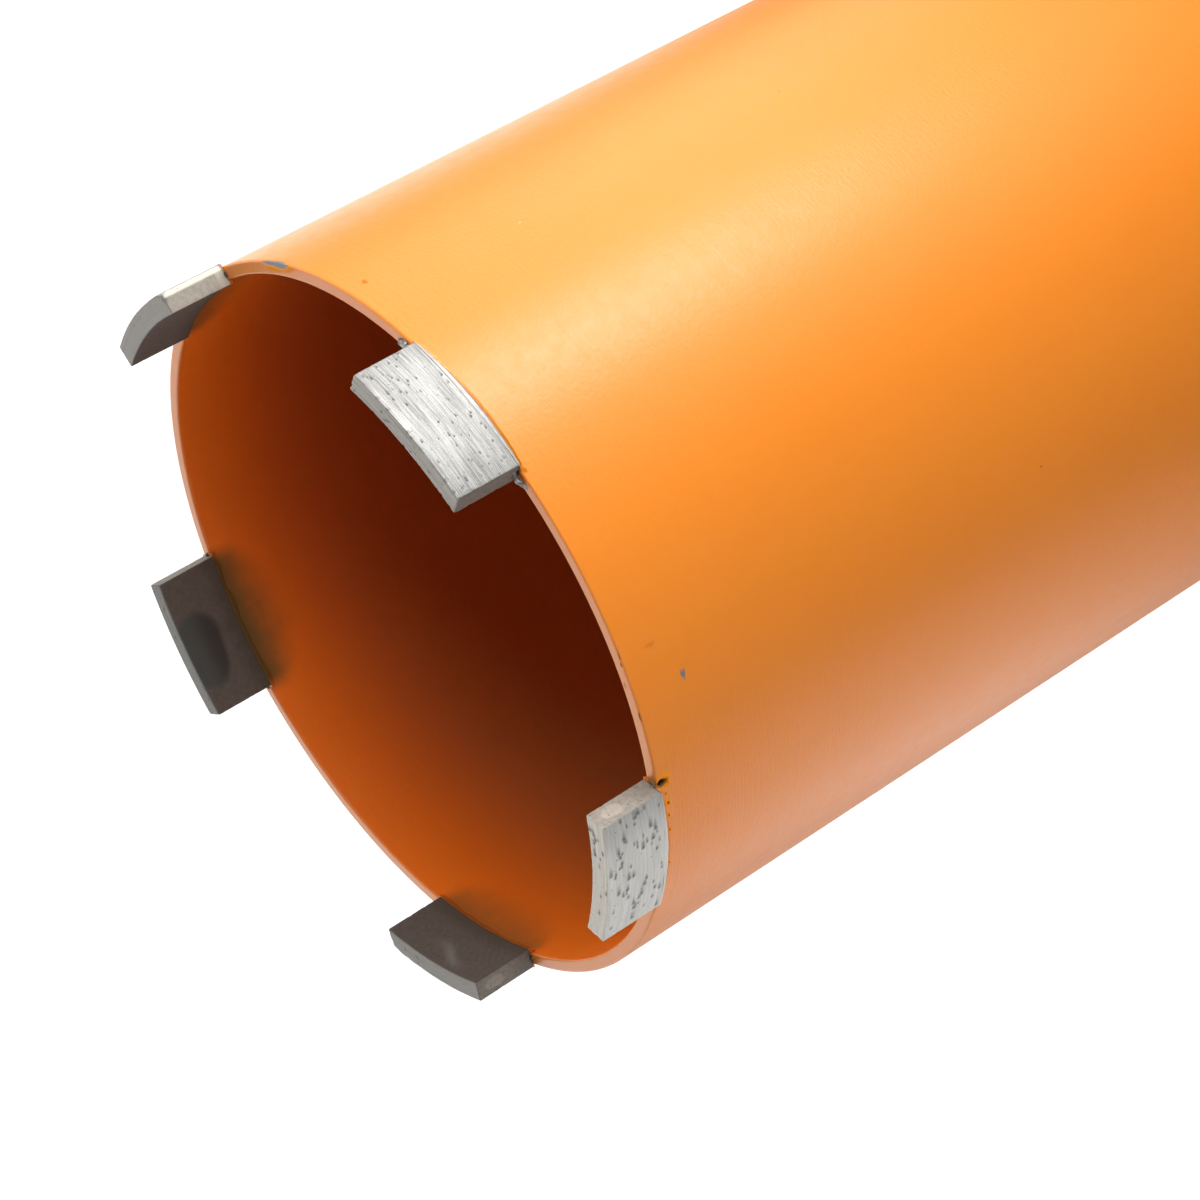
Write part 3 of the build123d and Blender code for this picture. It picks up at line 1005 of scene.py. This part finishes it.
# Paler and darker sides of that: azimuth, cosine of the angle from it where the side ends, change.
FLOOR_PATCHES = ((238, 0.75, 1.0), (310, 0.70, -0.5), (35, 0.50, 2.7), (134, 0.78, 1.1))
FLOOR_PATCH_END = 0.55  # how far out they reach
DARK_SIDE = -45  # azimuth of the unlit side of the studio, where the camera stands
HORIZON = 1.15  # light from low down all round
FRONT = 1.5  # and what the camera's side adds to it
HORIZON_TOP = 0.42  # sine of the elevation where it ends
BACK_SKY = 1.55  # light from above on the side away from the dark one
BACK_MIRRORED = 0.8  # what reflections see there beyond white


def studio_floor():
    """Pale floor. It is white to the camera, and reflections see it dark on the camera's side."""
    bpy.ops.mesh.primitive_plane_add(size=FLOOR_SIZE)
    floor = bpy.context.object
    floor.name = "floor"
    s = Shader("white_floor", Roughness=0.9, Specular_IOR_Level=0.1, Base_Color=(0.7, 0.7, 0.7, 1))
    rays = s.node("ShaderNodeLightPath").outputs
    seen = s.math("MAXIMUM", rays["Is Camera Ray"], rays["Is Transmission Ray"])
    emission = s.math("MULTIPLY_ADD", seen, FLOOR_SEEN - FLOOR_GLOW, FLOOR_GLOW)
    s.finish(Emission_Color=(1, 1, 1, 1), Emission_Strength=emission)
    flat = s.node("ShaderNodeVectorMath", {0: s.place(), 1: (1, 1, 0)}, operation="MULTIPLY").outputs["Vector"]
    way = s.node("ShaderNodeVectorMath", {0: flat}, operation="NORMALIZE").outputs["Vector"]
    away = s.node("ShaderNodeVectorMath", {0: flat}, operation="LENGTH").outputs["Value"]
    near = s.ramp(away, FLOOR_PATCH_END, FLOOR_PATCH_END * 0.75)
    glow = FLOOR_MIRRORED
    for azimuth, edge, amount in FLOOR_PATCHES:
        change = s.ramp(s.toward(way, azimuth), edge, 1.0, 0.0, amount)
        glow = s.math("MULTIPLY_ADD", change, near, glow)
    shade = s.ramp(away, BARREL_R * MM, 4 * BARREL_R * MM, 0.2, 1.0)
    mirrored = s.node("ShaderNodeEmission", {"Strength": s.math("MULTIPLY", glow, shade)})
    shown = {0: rays["Is Glossy Ray"], 1: s.principled.outputs[0], 2: mirrored.outputs[0]}
    mix = s.node("ShaderNodeMixShader", shown)
    s.tree.links.new(mix.outputs[0], s.tree.nodes["Material Output"].inputs["Surface"])
    s.material.cycles.emission_sampling = "NONE"
    floor.data.materials.append(s.material)


def studio_world():
    """Pale surround, brighter round the horizon than overhead, and plain white where it is seen."""
    world = bpy.data.worlds.new("studio")
    bpy.context.scene.world = world
    world.use_nodes = True
    world.cycles.sampling_method = "NONE"
    s = Nodes(world.node_tree)
    way = s.node("ShaderNodeTexCoord").outputs["Generated"]
    toward = s.toward(way, DARK_SIDE)
    height = s.node("ShaderNodeSeparateXYZ", {0: way}).outputs["Z"]
    level = s.math("ADD", s.ramp(toward, 0.9, 0.1, FRONT, 0.0), HORIZON)
    horizon = s.math("MULTIPLY", s.ramp(height, 0.02, HORIZON_TOP, 1.0, 0.0), level)
    back = s.math("MULTIPLY", s.ramp(toward, -0.5, 0.1, BACK_SKY, 0.0), s.ramp(height, 0.7, 0.95, 1.0, 0.0))
    behind = s.math("MULTIPLY", s.ramp(toward, -0.7, 0.0, BACK_MIRRORED, 0.0), s.ramp(height, 0.55, 0.8, 1.0, 0.0))
    rays = s.node("ShaderNodeLightPath").outputs
    seen = s.greatest(rays["Is Camera Ray"], rays["Is Glossy Ray"], rays["Is Transmission Ray"])
    lit = s.math("MULTIPLY", s.math("ADD", horizon, back), s.math("SUBTRACT", 1.0, seen))
    mirrored = s.math("MULTIPLY", behind, rays["Is Glossy Ray"])
    background = s.tree.nodes["Background"].inputs
    background["Color"].default_value = (1, 1, 1, 1)
    s.plug(s.math("ADD", s.math("ADD", lit, seen), mirrored), background["Strength"])


def softbox(name, azimuth, low, high, width, radiance):
    """Rectangular lamp that stands at an azimuth and faces the axis.

    Its lower and upper edges are given as (distance from the axis, height), in metres.
    """
    lean = Vector((high[0] - low[0], 0, high[1] - low[1]))
    light = bpy.data.lights.new(name, "AREA")
    light.shape = "RECTANGLE"
    light.size, light.size_y = width, lean.length
    light.energy = radiance * math.pi * light.size * light.size_y
    lamp = bpy.data.objects.new(name, light)
    up = lean.normalized()
    across = Vector((0, 1, 0))
    facing = across.cross(up)
    facing = -facing if facing.x > 0 else facing
    across = up.cross(-facing)
    middle = Vector(((low[0] + high[0]) / 2, 0, (low[1] + high[1]) / 2))
    turn = Matrix.Rotation(math.radians(azimuth), 4, "Z")
    axes = Matrix((across, up, -facing)).transposed().to_4x4()
    lamp.matrix_world = turn @ Matrix.Translation(middle) @ axes
    lamp.visible_camera = False
    bpy.context.scene.collection.objects.link(lamp)
    return lamp


CAMERA_PLACE = (0.435145, -0.173132, 0.381773)
CAMERA_AIM = (-0.83294, 0.30805, -0.4597)
CAMERA_ROLL = 120.612
CAMERA_LENS = 105.832


def studio_camera():
    """Camera at the photograph's angle."""
    data = bpy.data.cameras.new("camera")
    data.lens, data.sensor_width = CAMERA_LENS, 36
    data.clip_start, data.clip_end = 0.01, 50
    camera = bpy.data.objects.new("camera", data)
    forward = Vector(CAMERA_AIM).normalized()
    level_right = forward.cross(Vector((0, 0, 1))).normalized()
    level_up = level_right.cross(forward)
    roll = math.radians(CAMERA_ROLL)
    right = math.cos(roll) * level_right - math.sin(roll) * level_up
    up = math.sin(roll) * level_right + math.cos(roll) * level_up
    axes = Matrix((right, up, -forward)).transposed()
    camera.matrix_world = Matrix.Translation(CAMERA_PLACE) @ axes.to_4x4()
    bpy.context.scene.collection.objects.link(camera)
    bpy.context.scene.camera = camera


studio_floor()
studio_world()
softbox("key", azimuth=19.8, low=(0.215, 0.005), high=(0.30, 0.27), width=0.075, radiance=7.6)
studio_camera()
bpy.context.scene.view_settings.view_transform = "Standard"
